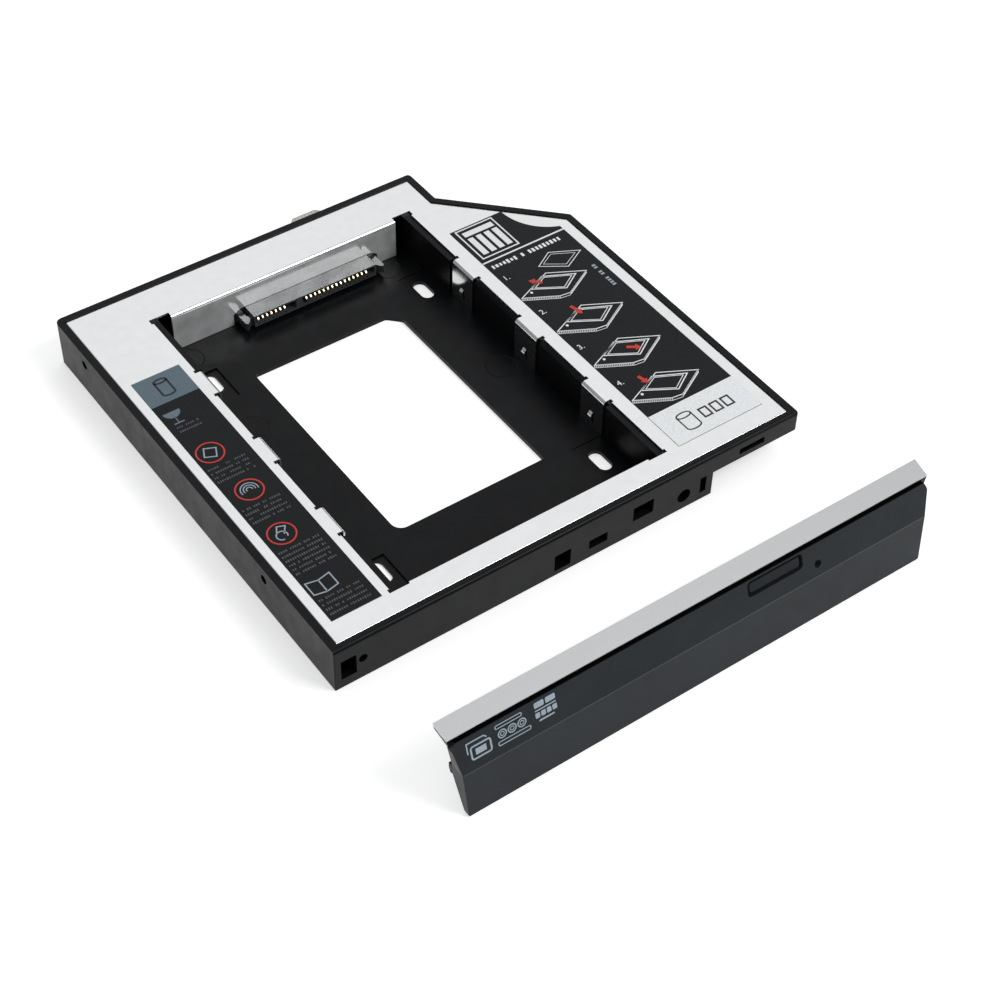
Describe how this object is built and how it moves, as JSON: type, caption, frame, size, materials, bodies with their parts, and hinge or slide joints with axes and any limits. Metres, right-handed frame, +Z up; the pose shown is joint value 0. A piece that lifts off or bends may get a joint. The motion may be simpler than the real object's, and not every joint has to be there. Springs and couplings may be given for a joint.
{
  "type": "laptop drive caddy",
  "caption": "Black plastic tray with a folded steel plate that carries a small drive in a laptop's optical bay, with its drive socket and a clip-on faceplate.",
  "frame": {"origin": "middle of the tray's front edge, on the plane of its underside", "axes": "+X right along the front edge, +Y back into the laptop's bay, the way the caddy slides in, +Z up out of the tray"},
  "size_m": [0.1313, 0.1733, 0.0229],
  "materials": {
    "tray_plastic": "fine spark-eroded black",
    "satin_steel": "satin, plated",
    "socket_plastic": "glossy black",
    "gilt_contact": "thin gold plating",
    "board_laminate": "green solder mask",
    "screw_steel": "zinc plated",
    "capacitor_ceramic": "fired ceramic",
    "plug_plastic": "light grey moulding",
    "label_film": "printed film",
    "face_plastic": "soft black",
    "trim_silver": "silver lacquer"
  },
  "bodies": {
    "caddy": {"tray_frame": "tray_plastic", "top_plate": "satin_steel", "drive_socket": "socket_plastic", "signal_contacts": "gilt_contact", "power_contacts": "gilt_contact", "adapter_board": "board_laminate", "board_screws": "screw_steel", "board_capacitors": "capacitor_ceramic", "rear_plug": "plug_plastic", "rear_contacts": "gilt_contact", "left_label": "label_film", "right_label": "label_film"},
    "faceplate": {"faceplate": "face_plastic", "faceplate_trim": "trim_silver"},
    "eject_button": {"eject_button": "face_plastic"}
  },
  "joints": [
    {"name": "faceplate_clip", "type": "slide", "parent": "caddy", "child": "faceplate", "axis": [-0.0775, 0.997, 0], "range_m": [0, 0.03701]},
    {"name": "button_press", "type": "slide", "parent": "faceplate", "child": "eject_button", "axis": [0, 1, 0], "range_m": [0, 0.0008], "stiffness_N_per_m": 400, "springref_m": -0.0005}
  ]
}
